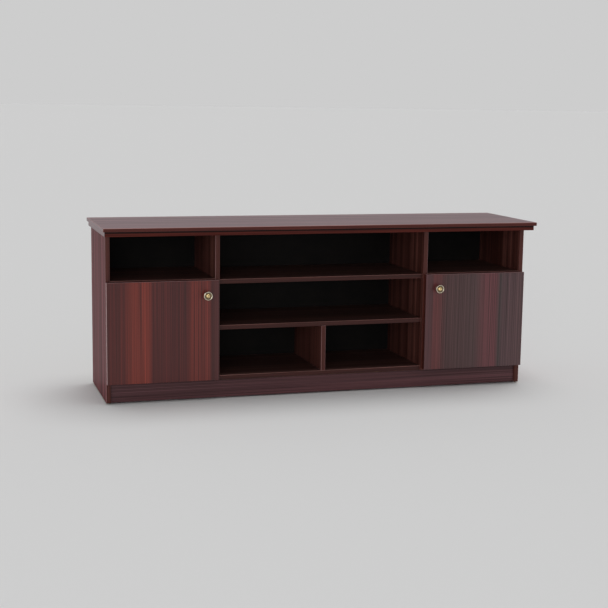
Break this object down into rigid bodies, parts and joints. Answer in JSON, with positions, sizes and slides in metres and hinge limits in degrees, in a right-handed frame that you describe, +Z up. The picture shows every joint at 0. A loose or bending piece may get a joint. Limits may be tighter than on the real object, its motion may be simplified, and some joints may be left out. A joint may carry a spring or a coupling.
{
  "type": "tv stand",
  "caption": "Long low tv stand: two-layer overhanging top, open cubby over a hinged-door cupboard at each end, shelved open centre bay with a divider, recessed plinth.",
  "frame": {"origin": "on the floor, under the centre of the stand's footprint with the overhanging top counted in", "axes": "+X along the length to the viewer's right, -Y out of the doors' front, +Z up"},
  "size_m": [1.53, 0.414, 0.5886],
  "materials": {
    "board": "satin dark mahogany melamine",
    "door_board": "satin dark mahogany melamine, upright grain",
    "back_board": "matt dark printed fibreboard",
    "knob_metal": "satin nickel plate",
    "knob_cap": "polished brass plate",
    "hinge_metal": "zinc plate",
    "steel": "bright zinc plate"
  },
  "bodies": {
    "carcass": {"top_panel": "board", "under_top_panel": "board", "bottom_panel_centre": "board", "centre_shelf_lower": "board", "centre_shelf_upper": "board", "centre_divider": "board", "plinth_front": "board", "plinth_rear": "board", "side_panel_left": "board", "partition_left": "board", "bottom_panel_left": "board", "cubby_shelf_left": "board", "side_panel_right": "board", "partition_right": "board", "bottom_panel_right": "board", "cubby_shelf_right": "board", "back_panel": "back_board", "hinge_arm_left_lower": "hinge_metal", "hinge_plate_left_lower": "hinge_metal", "arm_pin_outer_left_lower": "steel", "arm_pin_inner_left_lower": "steel", "hinge_arm_left_upper": "hinge_metal", "hinge_plate_left_upper": "hinge_metal", "arm_pin_outer_left_upper": "steel", "arm_pin_inner_left_upper": "steel", "hinge_arm_right_lower": "hinge_metal", "hinge_plate_right_lower": "hinge_metal", "arm_pin_outer_right_lower": "steel", "arm_pin_inner_right_lower": "steel", "hinge_arm_right_upper": "hinge_metal", "hinge_plate_right_upper": "hinge_metal", "arm_pin_outer_right_upper": "steel", "arm_pin_inner_right_upper": "steel"},
    "left_door": {"door_left": "door_board", "knob_body_left": "knob_metal", "knob_cap_left": "knob_cap", "knob_screw_left": "steel", "hinge_cup_left_lower": "hinge_metal", "cup_pin_left_lower": "steel", "hinge_cup_left_upper": "hinge_metal", "cup_pin_left_upper": "steel"},
    "left_outer_links": {"outer_link_left_lower": "hinge_metal", "outer_link_left_upper": "hinge_metal"},
    "left_inner_links": {"inner_link_left_lower": "hinge_metal", "inner_link_left_upper": "hinge_metal"},
    "right_door": {"door_right": "door_board", "knob_body_right": "knob_metal", "knob_cap_right": "knob_cap", "knob_screw_right": "steel", "hinge_cup_right_lower": "hinge_metal", "cup_pin_right_lower": "steel", "hinge_cup_right_upper": "hinge_metal", "cup_pin_right_upper": "steel"},
    "right_outer_links": {"outer_link_right_lower": "hinge_metal", "outer_link_right_upper": "hinge_metal"},
    "right_inner_links": {"inner_link_right_lower": "hinge_metal", "inner_link_right_upper": "hinge_metal"}
  },
  "joints": [
    {"name": "left_outer_link_pivot", "type": "hinge", "parent": "carcass", "child": "left_outer_links", "pos_m": [-0.7167, -0.1358, 0.235], "axis": [0, 0, -1], "range_deg": [-37.55, 0]},
    {"name": "left_door_swing", "type": "hinge", "parent": "left_outer_links", "child": "left_door", "pos_m": [-0.737, -0.1458, 0.235], "axis": [0, 0, -1], "range_deg": [0, 132.05]},
    {"name": "left_inner_link_pivot", "type": "hinge", "parent": "carcass", "child": "left_inner_links", "pos_m": [-0.7122, -0.1271, 0.235], "axis": [0, 0, -1], "range_deg": [-40.12, 0]},
    {"name": "right_outer_link_pivot", "type": "hinge", "parent": "carcass", "child": "right_outer_links", "pos_m": [0.7167, -0.1358, 0.235], "axis": [0, 0, 1], "range_deg": [-37.55, 0]},
    {"name": "right_door_swing", "type": "hinge", "parent": "right_outer_links", "child": "right_door", "pos_m": [0.737, -0.1458, 0.235], "axis": [0, 0, 1], "range_deg": [0, 132.05]},
    {"name": "right_inner_link_pivot", "type": "hinge", "parent": "carcass", "child": "right_inner_links", "pos_m": [0.7122, -0.1271, 0.235], "axis": [0, 0, 1], "range_deg": [-40.12, 0]}
  ],
  "couplings": [
    {"joint": "left_outer_link_pivot", "follows": "left_door_swing", "ratio": -0.28058},
    {"joint": "left_inner_link_pivot", "follows": "left_door_swing", "ratio": -0.3},
    {"joint": "right_outer_link_pivot", "follows": "right_door_swing", "ratio": -0.28058},
    {"joint": "right_inner_link_pivot", "follows": "right_door_swing", "ratio": -0.3}
  ]
}
